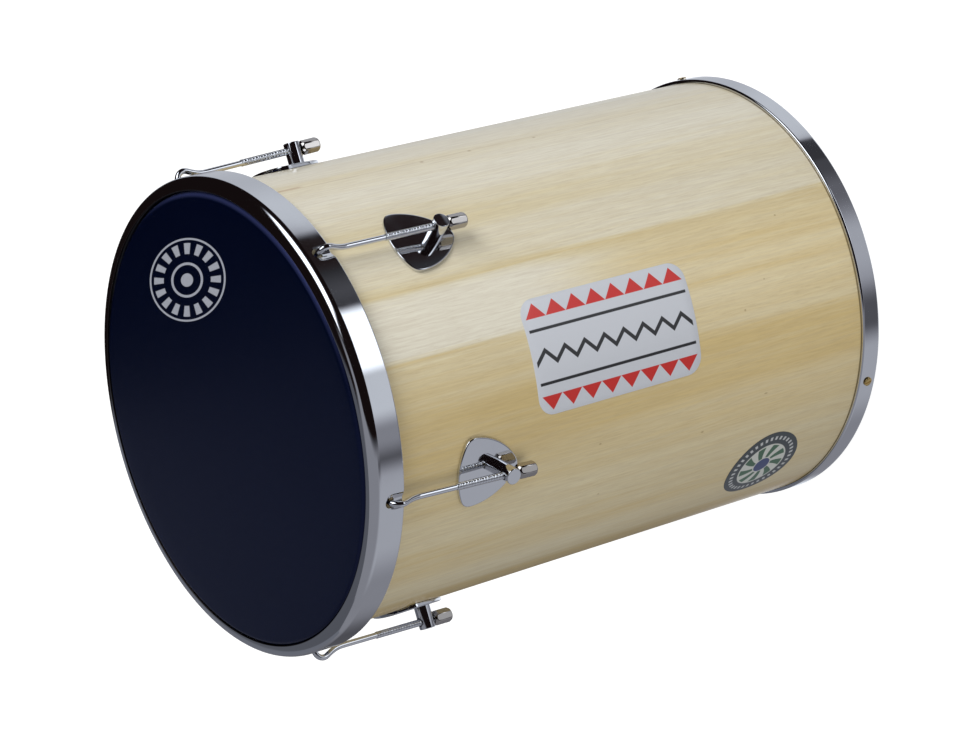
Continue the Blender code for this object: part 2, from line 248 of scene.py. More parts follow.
def newPiece(name, mesh, material, body, slot, *nodes):
    # a finished piece at the origin, riding on its body in place of its CAD nodes
    mesh.name = name
    mesh.materials.clear()
    mesh.materials.append(material)
    piece = bpy.data.objects.new(name, smooth(mesh))
    bpy.context.scene.collection.objects.link(piece)
    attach(piece, body)
    if nodes:
        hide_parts(*nodes)
    return piece


def toMesh(form, name="part"):
    mesh = bpy.data.meshes.new(name)
    form.to_mesh(mesh)
    form.free()
    return mesh


def line(points, closed=False):
    # a chain of edges through (x, y) or (x, y, z) points
    form = bmesh.new()
    verts = [form.verts.new((*point, 0)[:3]) for point in points]
    for first, second in zip(verts, verts[1:]):
        form.edges.new((first, second))
    if closed:
        form.edges.new((verts[-1], verts[0]))
    return toMesh(form)


def arc(centre, radius, start, end, count):
    points = []
    for i in range(count):
        turn = math.radians(start + (end - start) * i / (count - 1))
        points.append((centre[0] + radius * math.cos(turn), centre[1] + radius * math.sin(turn)))
    return points


def rounded(corners, radius, count=4):
    # a closed outline whose corners are rounded by arcs
    points = []
    for i, corner in enumerate(corners):
        here = Vector(corner)
        before = (Vector(corners[i - 1]) - here).normalized()
        after = (Vector(corners[(i + 1) % len(corners)]) - here).normalized()
        half = before.angle(after) / 2
        reach = radius / math.tan(half)
        first = here + before * reach
        last = here + after * reach
        centre = here + (before + after).normalized() * (radius / math.sin(half))
        sweep = (first - centre).angle_signed(last - centre)
        for j in range(count):
            turn = Matrix.Rotation(-sweep * j / (count - 1), 2)
            points.append(tuple(centre + turn @ (first - centre)))
    return points


def turned(profile, closed=True, steps=drum["steps"], place=None, turns=None):
    # a (radius, height) profile run down its outer side, swept round Z
    form = bmesh.new()
    turns = turns or [2 * math.pi * i / steps for i in range(steps)]
    rings = []
    for radius, height in profile:
        spots = turns if radius > 1e-6 else turns[:1]
        rings.append([form.verts.new((radius * math.cos(a), radius * math.sin(a), height)) for a in spots])
    pairs = list(zip(rings, rings[1:]))
    if closed:
        pairs.append((rings[-1], rings[0]))
    for high, low in pairs:
        for i in range(len(turns)):
            j = (i + 1) % len(turns)
            if len(high) == 1:
                form.faces.new((high[0], low[i], low[j]))
            elif len(low) == 1:
                form.faces.new((high[j], high[i], low[0]))
            else:
                form.faces.new((high[j], high[i], low[i], low[j]))
    if place:
        bmesh.ops.transform(form, matrix=place, verts=form.verts)
    return toMesh(form)


def lugTurn(index):
    return drum["lugFirst"] + index * 360 / drum["lugCount"]


def station(turn=0.0, lean=0.0):
    # the frame of a lug: X outward from the shell's surface, Z along the drum
    around = Matrix.Rotation(math.radians(turn), 4, "Z")
    out = Matrix.Translation((drum["shellRadius"], 0, drum["lugHeight"]))
    return around @ out @ Matrix.Rotation(-math.radians(lean), 4, "X")


def rodFrame(turn=0.0):
    # on the rod's axis where it crosses its post: Z along the rod, which leans in to the shell
    crossing = Matrix.Translation((drum["rodOut"], 0, 0))
    return station(turn, drum["lugLean"]) @ crossing @ Matrix.Rotation(-math.radians(drum["rodTilt"]), 4, "Y")


toRod = Matrix.Rotation(math.radians(90), 4, "Y")
inward = Matrix.Rotation(-math.radians(90), 4, "Y")


def rod(radius, low, high, steps, place):
    return turned([(0, high), (radius, high), (radius, low), (0, low)], False, steps, place)


def cut(mesh, *tools):
    # takes the tools' volumes out of a mesh
    body = bpy.data.objects.new("body", mesh)
    bpy.context.scene.collection.objects.link(body)
    extra = []
    for tool in tools:
        cutter = bpy.data.objects.new("tool", tool)
        bpy.context.scene.collection.objects.link(cutter)
        extra.append(cutter)
        step = body.modifiers.new("cut", "BOOLEAN")
        step.operation = "DIFFERENCE"
        step.solver = "EXACT"
        step.object = cutter
    result = bpy.data.meshes.new_from_object(body.evaluated_get(bpy.context.evaluated_depsgraph_get()))
    for item in [body, *extra]:
        bpy.data.objects.remove(item)
    return result


def copiesRound(mesh, material, first=0.0, count=drum["lugCount"]):
    # copies of a mesh at equal turns round the drum's axis, joined as one mesh
    shape = Shape("copiesRound", {"Count": count, "First Turn": math.radians(first)})
    spots = shape.add("GeometryNodePoints", {}, {"Count": shape.size["Count"]})
    index = shape.add("GeometryNodeInputIndex")
    turn = index * (2 * math.pi) / shape.size["Count"] + shape.size["First Turn"]
    spin = shape.add("ShaderNodeCombineXYZ", {}, {2: turn})
    copies = shape.add("GeometryNodeInstanceOnPoints", {}, {"Points": spots, "Instance": shape.source,
                                                            "Rotation": spin})
    shape.finish(copies, material)
    return shape.make(mesh)


def allNodes(stem, count=drum["lugCount"]):
    return [f"{stem}_{i + 1}" for i in range(count)]


# Shell: bent veneer with the grain along the drum, lacquered outside
shellSizes = {
    "radius": 0.152, "wall": 0.007, "foot": 0.0015, "top": 0.4382, "edgeRound": 0.004, "land": 0.0008,
    "bevel": 0.0027, "screwHole": 0.0028,
}
woodLook = {
    "ochre": (0.657, 0.512, 0.243), "cream": (0.744, 0.661, 0.443), "pale": (0.797, 0.760, 0.631),
    "foot": (0.17, 0.12, 0.05), "fleck": (0.34, 0.22, 0.10), "streak": (0.36, 0.15, 0.08), "inside": (0.47, 0.34, 0.19),
    "paleness": 0.3, "roughness": 0.42, "coat": 0.5, "coatRoughness": 0.15, "gloss": 0.3,
}
# veneer stripes along the drum, some of them painted sheen: middle and half width in degrees, softness and paleness;
# low is where one ends
# the broad pale stripes at 322 and 334 degrees, on the side the key lamp faces, and the one at 279.5 degrees above 0.24
# m are painted sheen: they stand in for the lamp's pale highlight on the lacquer
stripesAndSheen = [
    {"turn": 322, "half": 32, "soft": 1.5, "pale": 0.70}, {"turn": 334, "half": 20, "soft": 3, "pale": 0.92},
    {"turn": 330, "half": 4, "soft": 3, "pale": 0.78}, {"turn": 304, "half": 2, "soft": 2, "pale": 0.6},
    {"turn": 243, "half": 5, "soft": 3, "pale": 0.14},
    {"turn": 253, "half": 6, "soft": 4, "pale": 0.02}, {"turn": 226, "half": 5, "soft": 2, "pale": 0.44},
    {"turn": 207, "half": 3, "soft": 2, "pale": 0.44}, {"turn": 193, "half": 6, "soft": 3, "pale": 0.0},
    {"turn": 279.5, "half": 7.8, "soft": 1.5, "pale": 1.05, "low": 0.24, "softLow": 0.06},
    {"turn": 165, "half": 14, "soft": 3, "pale": 0.5}, {"turn": 121, "half": 9, "soft": 2, "pale": 0.08},
    {"turn": 84, "half": 16, "soft": 2, "pale": 0.66}, {"turn": 40, "half": 8, "soft": 3, "pale": 0.12},
]
# small knots and stains in the veneer: turn, height, half length along the drum and half width, in metres
knots = [
    (329.9, 0.290, 0.0016, 0.0011), (330.2, 0.250, 0.0018, 0.0012), (329.6, 0.196, 0.0014, 0.0010),
    (262.5, 0.118, 0.0010, 0.0008), (239.0, 0.103, 0.0016, 0.0007), (233.0, 0.158, 0.0016, 0.0008),
    (238.6, 0.249, 0.0012, 0.0007), (284.2, 0.068, 0.0010, 0.0008), (268.9, 0.096, 0.0008, 0.0006),
    (222.7, 0.242, 0.0010, 0.0006), (102.0, 0.310, 0.0017, 0.0010), (21.0, 0.120, 0.0014, 0.0008),
]


def paintWood():
    paint = Paint("shellVeneer")
    place = paint.place()
    x, y, z = paint.axes(place)
    radius = (x * x + y * y) ** 0.5
    bands = paint.noise(paint.stretched(place, (46, 46, 1.3)), 1.0, 3.0, 0.55, 0.5)
    edges = paint.noise(paint.stretched(place, (160, 160, 5)), 1.0, 3.0, 0.6, 0.4)
    fibres = paint.noise(paint.stretched(place, (620, 620, 11)), 1.0, 4.0, 0.62, 0.2)
    grain = paint.noise(paint.stretched(place, (850, 850, 42)), 1.0, 2.0, 0.55, 0.3)
    pores = paint.noise(paint.stretched(place, (1300, 1300, 90)), 1.0, 2.0, 0.6)
    pale = woodLook["paleness"]
    # veneer stripes, and painted sheen where the pale stripes lie on the lit side
    for stripe in stripesAndSheen:
        off = abs(paint.around(x, y, stripe["turn"]) + (edges - 0.5) * 5 + (bands - 0.5) * 6)
        mask = off.under(stripe["half"], stripe["soft"]) * z.over(stripe.get("low", -1), stripe.get("softLow", 1))
        pale = pale + mask * (stripe["pale"] - pale)
    pale = pale + (bands - 0.5) * 0.7 + (edges - 0.5) * 0.45 + (fibres - 0.5) * 0.35
    colour = paint.add("ShaderNodeValToRGB", {"stops": [(0.0, woodLook["ochre"]), (0.5, woodLook["cream"]),
                                                        (1.0, woodLook["pale"])]}, {0: pale})
    colour = paint.mix(fibres.over(0.52, 0.16) * 0.10, colour, woodLook["fleck"])
    colour = paint.mix(grain.over(0.5, 0.18) * 0.14, colour, woodLook["fleck"])
    # painted light: round 258 degrees and below 0.19 m the wood is painted up to 12 percent brighter, standing in for
    # more light there
    paintedLightPatch = 1 + abs(paint.around(x, y, 258)).under(24, 14) * z.under(0.19, 0.12) * 0.12
    colour = paint.mix(1.0, colour, paint.point(paintedLightPatch, paintedLightPatch, paintedLightPatch), "MULTIPLY")
    # painted shade: the wood is darkened just above the rear band, standing in for the shade where the band meets the
    # shell
    colour = paint.mix(z.under(0.0157, 0.0004) * 0.8, colour, woodLook["foot"])
    colour = paint.mix(pores.over(0.60, 0.06) * 0.10, colour, woodLook["fleck"])
    line = abs(paint.around(x, y, 330.3) + (edges - 0.5) * 1.6).under(0.10, 0.12) * z.between(0.04, 0.40, 0.03)
    colour = paint.mix(line * (0.15 + fibres * 0.4), colour, woodLook["fleck"])
    redness = abs(paint.around(x, y, 330.9) + (edges - 0.5) * 0.8).under(0.35, 0.25) * z.between(0.385, 0.404, 0.003)
    colour = paint.mix(redness * 0.45, colour, woodLook["streak"])
    for turn, height, long, wide in knots:
        aside = paint.around(x, y, turn) * math.radians(drum["shellRadius"]) / wide
        along = (z - height) / long
        far = (aside * aside + along * along) ** 0.5 + (pores - 0.5) * 1.2
        colour = paint.mix(far.under(0.8, 0.5) * 0.62, colour, woodLook["fleck"])
    inner = radius.under(0.1505, 0.0004)
    inside = paint.mix(fibres.over(0.5, 0.3), woodLook["inside"], woodLook["fleck"])
    colour = paint.mix(inner, colour, paint.mix(0.6, woodLook["inside"], inside))
    bump = paint.bump(fibres * 0.6 + pores * 0.4, 0.08, 0.0002)
    rough = woodLook["roughness"] + (fibres - 0.5) * 0.1 + inner * 0.3
    return paint.surface(Base_Color=colour, Roughness=rough, Normal=bump, Coat_Weight=(1 - inner) * woodLook["coat"],
                         Coat_Roughness=woodLook["coatRoughness"], Specular_IOR_Level=woodLook["gloss"])


def makeShell():
    size = shellSizes
    outer = size["radius"]
    inner = outer - size["wall"]
    crown = (outer - size["edgeRound"], size["top"] - size["edgeRound"])
    profile = [(crown[0] - size["land"], size["top"])]
    profile += arc(crown, size["edgeRound"], 90, 0, 8)
    profile += [(outer, size["foot"]), (inner, size["foot"]), (inner, size["top"] - size["bevel"])]
    mesh = turned(profile)
    drills = []
    for i in range(drum["lugCount"]):
        drills.append(rod(size["screwHole"], -0.02, 0.02, 24, station(lugTurn(i)) @ toRod))
    mesh = cut(mesh, *drills)
    return newPiece("shell", mesh, paintWood(), "drum_body", "shell_wood", "shell")


makeShell()
print("shell made")


# Metals: bright plated steel with faint polishing marks and smudges
metalLook = {
    # the chrome's lip is the radius inside which the hoop's edge gets painted shade
    "chrome": {"colour": (0.72, 0.73, 0.75), "low": 0.03, "high": 0.10, "lip": 0.1534},
    "nickel": {"colour": (0.48, 0.45, 0.42), "low": 0.05, "high": 0.14},
    "brass": {"colour": (0.66, 0.47, 0.18), "low": 0.22, "high": 0.4},
    "zinc": {"colour": (0.56, 0.57, 0.58), "low": 0.3, "high": 0.45},
    # the aluminium is painted dark grey: painted shade for the gap under the counterhoop, where the flesh hoop sits
    "aluminium": {"colour": (0.12, 0.12, 0.13), "low": 0.4, "high": 0.6},
}


def paintMetal(kind, smudge=30, scratch=900):
    look = metalLook[kind]
    paint = Paint(f"{kind}Metal")
    place = paint.place()
    cloud = paint.noise(place, smudge, 4.0, 0.6)
    marks = paint.noise(paint.stretched(place, (1, 1, 0.15)), scratch, 2.0, 0.6)
    rough = look["low"] + (look["high"] - look["low"]) * (cloud * 0.7 + marks * 0.3).over(0.5, 0.3)
    colour = paint.mix(cloud.over(0.55, 0.2) * 0.12, look["colour"], tuple(c * 0.8 for c in look["colour"]))
    if "lip" in look:
        # painted shade: the hoop's inner edge is painted near black where it meets the head, and made rougher
        x, y, z = paint.axes(place)
        lipShade = ((x * x + y * y) ** 0.5).under(look["lip"], 0.0002) * z.over(0.43, 0.001)
        colour = paint.mix(lipShade, colour, (0.03, 0.022, 0.02))
        rough = rough + lipShade * 0.3
    return paint.surface(Base_Color=colour, Metallic=1.0, Roughness=rough)


chrome = paintMetal("chrome")
nickel = paintMetal("nickel")
brass = paintMetal("brass")
zinc = paintMetal("zinc")
aluminium = paintMetal("aluminium")


# Head: a stretched dark blue skin, folded round its hoop
headSizes = {
    "thickness": 0.0009, "fleshInner": 0.1536, "fleshOuter": 0.1572, "fleshBottom": 0.4312,
    "fleshTop": 0.4365, "foldTop": 0.435, "wideShoulder": 0.0067, "tightShoulder": 0.0035, "wideTurn": 325,
}
# rim is a lighter blue painted on the head's edge: a painted highlight
headLook = {
    "colour": (0.0002, 0.0018, 0.0105), "worn": (0.0005, 0.0024, 0.0125), "print": (0.42, 0.44, 0.50),
    "roughness": 0.15, "gloss": (0.42, 0.47, 1.15), "shine": 0.42, "printPlace": (0.0962, 0.005),
    "printHalf": (0.027, 0.0505), "rim": (0.022, 0.028, 0.085), "highlightRadius": 0.1492,
}


def paintHead():
    paint = Paint("navySkin")
    place = paint.place()
    x, y, z = paint.axes(place)
    cells = paint.add("ShaderNodeTexVoronoi", {"feature": "DISTANCE_TO_EDGE"},
                      {"Vector": place, "Scale": 900, "Randomness": 1.0})
    fine = paint.noise(place, 1400, 3.0, 0.6)
    cloud = paint.noise(place, 14, 3.0, 0.5)
    height = cells.over(0.12, 0.12) * 0.7 + fine * 0.3
    across = (x - headLook["printPlace"][0]) / headLook["printHalf"][0]
    along = (y - headLook["printPlace"][1]) / headLook["printHalf"][1]
    far = (across * across + along * along) ** 0.5
    around = paint.add("ShaderNodeMath", {"operation": "ARCTAN2"}, {0: along, 1: across})
    spokes = paint.add("ShaderNodeMath", {"operation": "SINE"}, {0: around * 16}).over(0.0, 0.25)
    soft = 0.006
    mark = far.between(0.955, 1.0, soft) + far.between(0.62, 0.88, soft) * spokes
    mark = mark + far.between(0.36, 0.42, soft) + far.under(0.16, soft)
    mark = mark * z.over(0.438, 0.0002) * (0.82 + fine.under(0.5, 0.2) * 0.18)
    colour = paint.mix(cloud, headLook["colour"], headLook["worn"])
    colour = paint.mix(mark, colour, headLook["print"])
    # painted highlight: the head's edge round its wide turn is painted a lighter blue, standing in for the lamp's
    # reflection on its shoulder
    rim = ((x * x + y * y) ** 0.5).over(headLook["highlightRadius"], 0.0014)
    rim = rim * abs(paint.around(x, y, headSizes["wideTurn"])).under(42, 16)
    colour = paint.mix(rim, colour, headLook["rim"])
    rough = headLook["roughness"] + (cloud - 0.5) * 0.06 + (0.5 - height) * 0.06
    bump = paint.bump(height, 0.2, 0.00025)
    return paint.surface(Base_Color=colour, Roughness=rough, Normal=bump, Specular_Tint=headLook["gloss"],
                         Specular_IOR_Level=headLook["shine"])


def headProfile(shoulder):
    size = headSizes
    gap = drum["gap"]
    thick = size["thickness"]
    under = shellSizes["top"] + gap
    crown = (shellSizes["radius"] - shellSizes["edgeRound"], shellSizes["top"] - shellSizes["edgeRound"])
    inside = shellSizes["edgeRound"] + gap
    wall = shellSizes["radius"] + gap
    floor = size["fleshBottom"] - gap
    fold = size["fleshOuter"] + gap
    flats = [crown[0] * i / 12 for i in range(12)]
    profile = [(radius, under + thick) for radius in flats]
    profile += arc((wall + thick - shoulder, under + thick - shoulder), shoulder, 90, 0, 18)
    profile += [(wall + thick, floor + 0.0004), (wall + thick + 0.0004, floor)]
    profile += [(fold - 0.0004, floor), (fold, floor + 0.0004)]
    profile += [(fold, size["foldTop"]), (fold + thick, size["foldTop"])]
    profile += arc((fold, floor), thick, 0, -90, 5)
    profile += arc((wall + thick, floor), thick, -90, -180, 5)
    profile += arc(crown, inside, 0, 90, 10)
    return profile + [(radius, under) for radius in reversed(flats)]


def makeHead():
    # its shoulder is rounder on one side, where the skin is a little slack
    size = headSizes
    mesh = turned(headProfile(size["tightShoulder"]), False)
    wide = turned(headProfile(size["wideShoulder"]), False)
    for vert, other in zip(mesh.vertices, wide.vertices):
        turn = math.degrees(math.atan2(vert.co.y, vert.co.x)) - size["wideTurn"]
        share = min(1.0, max(0.0, (110 - abs((turn + 180) % 360 - 180)) / 50))
        vert.co = vert.co.lerp(other.co, share * share * (3 - 2 * share))
    head = newPiece("headSkin", mesh, paintHead(), "head_and_hoop", "navy_skin", "head_skin")
    ring = rounded([(size["fleshInner"], size["fleshTop"]), (size["fleshOuter"], size["fleshTop"]),
                    (size["fleshOuter"], size["fleshBottom"]), (size["fleshInner"], size["fleshBottom"])],
                   0.0008)
    newPiece("fleshHoop", turned(ring), aluminium, "head_and_hoop", "aluminium", "flesh_hoop")


makeHead()
print("head made")


# Counterhoop: pressed steel with a rolled shoulder, punched for the six hooks
hoopSizes = {
    "outer": 0.1618, "sheet": 0.0016, "bottom": 0.4155, "corner": 0.0062, "cornerHeight": 0.4328,
    "lipAngle": 110, "hole": 0.00375, "shoulder": 78, "frontRadius": 0.014, "frontEnd": 93, "lip": 0.0005,
}
hookSizes = {
    "shank": 0.002, "core": 0.0023, "threadOuter": 0.00246, "threadRidge": 0.0003, "pitch": 0.0008,
    "tail": -0.0171,
    "threadEnd": 0.0415, "elbow": 0.026, "elbowTurn": 25, "bend": 0.006, "height": 0.0914,
    "crest": 0.0043, "tip": -0.006, "sides": 20, "ridgeSides": 6,
}
seatSizes = {"halfWidth": 0.0062, "depth": 0.0021, "top": 0.428, "full": 0.4225, "fine": 3.2, "fineSteps": 20,
             "wideSteps": 36}


def hoopTurns(middle):
    # angles round the hoop, closer together at each hook's seat
    turns = []
    for i in range(drum["lugCount"]):
        start = lugTurn(i) + middle - seatSizes["fine"]
        end = start + 2 * seatSizes["fine"]
        gap = 360 / drum["lugCount"] - 2 * seatSizes["fine"]
        turns += [start + (end - start) * j / seatSizes["fineSteps"] for j in range(seatSizes["fineSteps"])]
        turns += [end + gap * j / seatSizes["wideSteps"] for j in range(seatSizes["wideSteps"])]
    return [math.radians(turn) for turn in turns]


def pressSeats(mesh, middle):
    # the strip behind each hook's hole is pressed in as a shallow groove
    size = seatSizes
    for vert in mesh.vertices:
        radius = math.hypot(vert.co.x, vert.co.y)
        turn = math.degrees(math.atan2(vert.co.y, vert.co.x)) - drum["lugFirst"] - middle
        sector = 360 / drum["lugCount"]
        aside = radius * math.radians((turn + sector / 2) % sector - sector / 2)
        if abs(aside) < size["halfWidth"] and vert.co.z < size["top"]:
            across = (1 + math.cos(math.pi * aside / size["halfWidth"])) / 2
            down = min(1.0, (size["top"] - vert.co.z) / (size["top"] - size["full"]))
            press = size["depth"] * across * down * down * (3 - 2 * down)
            vert.co.x *= 1 - press / radius
            vert.co.y *= 1 - press / radius


def makeHoop():
    size = hoopSizes
    centre = (size["outer"] - size["corner"], size["cornerHeight"])
    sheet = size["sheet"]
    wide = size["frontRadius"]
    shoulder = math.radians(size["shoulder"])
    front = (centre[0] - (wide - size["corner"]) * math.cos(shoulder),
             centre[1] - (wide - size["corner"]) * math.sin(shoulder))
    end = math.radians(size["frontEnd"])
    lip = (front[0] + (wide - size["lip"]) * math.cos(end), front[1] + (wide - size["lip"]) * math.sin(end))
    profile = arc(lip, size["lip"], size["frontEnd"] + 110, size["frontEnd"], 6)
    profile += arc(front, wide, size["frontEnd"], size["shoulder"], 8)[1:]
    profile += arc(centre, size["corner"], size["shoulder"], 0, 16)[1:]
    foot = (size["outer"] - sheet / 2, size["bottom"] + sheet / 2)
    rows = [centre[1] - 0.0002]
    rows += [centre[1] + (foot[1] - centre[1]) * i / 12 for i in range(1, 12)]
    rows += [foot[1] + 0.0002]
    profile += [(size["outer"], height) for height in rows]
    profile += arc(foot, sheet / 2, 0, -180, 7)
    profile += [(size["outer"] - sheet, height) for height in reversed(rows)]
    profile += arc(centre, size["corner"] - sheet, 0, size["lipAngle"], 12)
    hole = rodFrame() @ Vector((0, 0, hookSizes["height"]))
    seat = math.degrees(math.atan2(hole.y, hole.x))
    mesh = turned(profile, turns=hoopTurns(seat))
    pressSeats(mesh, seat)
    punches = []
    for i in range(drum["lugCount"]):
        place = rodFrame(lugTurn(i)) @ Matrix.Translation((0, 0, hookSizes["height"])) @ toRod
        punches.append(rod(size["hole"], hookSizes["tip"] - 0.001, hookSizes["crest"], 40, place))
    mesh = cut(mesh, *punches)
    return newPiece("counterhoop", mesh, chrome, "head_and_hoop", "chrome", "counterhoop")


def hookRoute():
    # the rod's centreline: straight tail, elbow away from the shell, then the bend that turns the tip in
    size = hookSizes
    turn = math.radians(size["elbowTurn"])
    arcs = size["elbow"] + size["bend"]
    straight = (size["crest"] - arcs * (1 - math.cos(turn))) / math.sin(turn)
    middle = (size["crest"] - size["bend"], size["height"] - size["bend"])
    elbow = (size["elbow"], middle[1] - arcs * math.sin(turn) - straight * math.cos(turn))
    points = [(0, size["tail"])]
    points += arc(elbow, size["elbow"], 180, 180 - size["elbowTurn"], 12)
    points += arc(middle, size["bend"], -size["elbowTurn"], 90, 20)
    points += [(size["tip"], size["height"])]
    return [(x, 0, z) for x, z in points]


def makeHooks():
    size = hookSizes
    turns = (size["threadEnd"] - size["tail"]) / size["pitch"]
    shape = Shape("threadedHook", {
        "Shank Radius": size["shank"], "Core Radius": size["core"], "Ridge Centre": size["threadOuter"] - size["threadRidge"],
        "Ridge Radius": size["threadRidge"], "Turns": turns, "Height": size["threadEnd"] - size["tail"],
        "Tail": size["tail"], "Rod Out": drum["rodOut"], "Tilt": -math.radians(drum["rodTilt"]),
        "Shell Radius": drum["shellRadius"], "Lug Height": drum["lugHeight"],
        "Lean": -math.radians(drum["lugLean"]), "Count": drum["lugCount"],
        "First Turn": math.radians(drum["lugFirst"]),
    })
    route = shape.add("GeometryNodeMeshToCurve", {}, {0: shape.source})
    wire = shape.add("GeometryNodeCurvePrimitiveCircle", {}, {"Resolution": size["sides"],
                                                              "Radius": shape.size["Shank Radius"]})
    shank = shape.add("GeometryNodeCurveToMesh", {}, {0: route, "Profile Curve": wire, "Fill Caps": True})
    coil = shape.add("GeometryNodeCurveSpiral", {}, {
        "Resolution": 16, "Rotations": shape.size["Turns"], "Start Radius": shape.size["Ridge Centre"],
        "End Radius": shape.size["Ridge Centre"], "Height": shape.size["Height"]})
    ridge = shape.add("GeometryNodeCurvePrimitiveCircle", {}, {"Resolution": size["ridgeSides"],
                                                               "Radius": shape.size["Ridge Radius"]})
    thread = shape.add("GeometryNodeCurveToMesh", {}, {0: coil, "Profile Curve": ridge, "Fill Caps": True})
    spot = shape.add("ShaderNodeCombineXYZ", {}, {2: shape.size["Tail"]})
    thread = shape.add("GeometryNodeTransform", {}, {0: thread, "Translation": spot})
    core = shape.add("GeometryNodeMeshCylinder", {}, {
        "Vertices": size["sides"], "Radius": shape.size["Core Radius"], "Depth": shape.size["Height"]})
    spot = shape.add("ShaderNodeCombineXYZ", {}, {2: shape.size["Tail"] + shape.size["Height"] / 2})
    core = shape.add("GeometryNodeTransform", {}, {0: core, "Translation": spot})
    hook = shape.add("GeometryNodeJoinGeometry")
    joined = hook.socket.node.inputs[0]
    for part in (shank, core, thread):
        shape.tree.links.new(part.socket, joined)
    out = shape.add("ShaderNodeCombineXYZ", {}, {0: shape.size["Rod Out"]})
    tilted = shape.add("ShaderNodeCombineXYZ", {}, {1: shape.size["Tilt"]})
    hook = shape.add("GeometryNodeTransform", {}, {0: hook, "Translation": out, "Rotation": tilted})
    lift = shape.add("ShaderNodeCombineXYZ", {}, {0: shape.size["Shell Radius"], 2: shape.size["Lug Height"]})
    leaning = shape.add("ShaderNodeCombineXYZ", {}, {0: shape.size["Lean"]})
    hook = shape.add("GeometryNodeTransform", {}, {0: hook, "Translation": lift, "Rotation": leaning})
    spots = shape.add("GeometryNodePoints", {}, {"Count": shape.size["Count"]})
    index = shape.add("GeometryNodeInputIndex")
    turn = index * (2 * math.pi) / shape.size["Count"] + shape.size["First Turn"]
    spin = shape.add("ShaderNodeCombineXYZ", {}, {2: turn})
    hooks = shape.add("GeometryNodeInstanceOnPoints", {}, {"Points": spots, "Instance": hook, "Rotation": spin})
    shape.finish(hooks, chrome)
    mesh = shape.make(line(hookRoute()))
    return newPiece("tuningHooks", mesh, chrome, "head_and_hoop", "chrome", *allNodes("tuning_hook"))


makeHoop()
makeHooks()
print("hoop and hooks made")


# Lug plate: a rounded three-cornered pressing that hugs the shell, with a raised rim
plateSizes = {
    "corner": (0.0238, 0.0252), "apex": -0.0167, "topBulge": 0.0073, "sideBulge": 0.0071, "turn": 3.8,
    "thickness": 0.002, "rim": 0.0008, "faceRadius": 0.24, "perSide": 26,
}


def bulged(start, end, bulge, count):
    # points from start up to but not end, on an arc that stands bulge off the chord
    start = Vector(start)
    end = Vector(end)
    chord = end - start
    half = chord.length / 2
    radius = (half * half + bulge * bulge) / (2 * bulge)
    outward = Vector((-chord.y, chord.x)).normalized()
    centre = (start + end) / 2 - outward * (radius - bulge)
    sweep = 2 * math.asin(half / radius)
    return [centre + Matrix.Rotation(-sweep * i / count, 2) @ (start - centre) for i in range(count)]


def softened(points, passes):
    # rounds the corners of a closed outline by averaging neighbours
    for _ in range(passes):
        points = [(points[i - 1] + points[i] * 2 + points[(i + 1) % len(points)]) / 4
                  for i in range(len(points))]
    return points


def makePlate():
    size = plateSizes
    side, top = size["corner"]
    left = (-side, top)
    right = (side, top)
    apex = (0, size["apex"])
    count = size["perSide"]
    outline = bulged(left, right, size["topBulge"], count)
    outline += bulged(right, apex, size["sideBulge"], count)
    outline += bulged(apex, left, size["sideBulge"], count)
    turned = Matrix.Rotation(-math.radians(size["turn"]), 2)
    outline = [turned @ point for point in softened(outline, 7)]
    middle = turned @ Vector((0, 0.0085))
    gap = drum["gap"]
    high = gap + size["thickness"]
    rim = size["rim"]
    rows = [(0.0, gap)] + [(rim - reach, out) for reach, out in arc((0, high - rim), rim, 0, 90, 6)]
    rows += [(rim * 1.4, high), (rim * 5, high), (rim * 12, high)]
    form = bmesh.new()
    rings = []
    for inset, out in rows:
        ring = []
        for point in outline:
            reach = (point - middle).length
            spot = middle + (point - middle) * ((reach - inset) / reach)
            lift = spot.x ** 2 / 2 * (1 / drum["shellRadius"] - 1 / size["faceRadius"]) if out > gap else 0
            radius = drum["shellRadius"] + out + lift
            turn = spot.x / drum["shellRadius"]
            height = drum["lugHeight"] + spot.y
            ring.append(form.verts.new((radius * math.cos(turn), radius * math.sin(turn), height)))
        rings.append(ring)
    for first, second in zip(rings, rings[1:]):
        for i in range(len(first)):
            j = (i + 1) % len(first)
            form.faces.new((first[i], second[i], second[j], first[j]))
    for ring, out in ((rings[0], rows[0][1]), (rings[-1], rows[-1][1])):
        radius = drum["shellRadius"] + out
        turn = middle.x / drum["shellRadius"]
        hub = form.verts.new((radius * math.cos(turn), radius * math.sin(turn), drum["lugHeight"] + middle.y))
        for i in range(len(ring)):
            form.faces.new((ring[i - 1], ring[i], hub))
    bmesh.ops.recalc_face_normals(form, faces=form.faces)
    return toMesh(form)


# Post, washer and screw of each lug, all turned on the lug's own axis
postSizes = {
    "radius": 0.0055, "foot": 0.0012, "end": 0.018, "edge": 0.0005, "rodHole": 0.0031, "tap": 0.0026,
    "tapEnd": 0.009,
}
washerSizes = {"radius": 0.008, "hole": 0.0027, "thickness": 0.00115, "out": -0.0078}
lugScrewSizes = {"head": 0.0045, "height": 0.003, "shank": 0.0023, "tip": 0.0085, "slot": 0.001, "deep": 0.0011}


def makePost():
    size = postSizes
    wide = size["radius"]
    edge = size["edge"]
    profile = [(0, size["end"]), (wide - edge, size["end"])]
    profile += arc((wide - edge, size["end"] - edge), edge, 80, 0, 4)
    profile += [(wide, size["foot"]), (0, size["foot"])]
    post = turned(profile, False, 64, station() @ toRod)
    crossing = rod(size["rodHole"], -0.01, 0.01, 40, rodFrame())
    tapped = rod(size["tap"], 0, size["tapEnd"], 32, station() @ toRod)
    return cut(post, crossing, tapped)


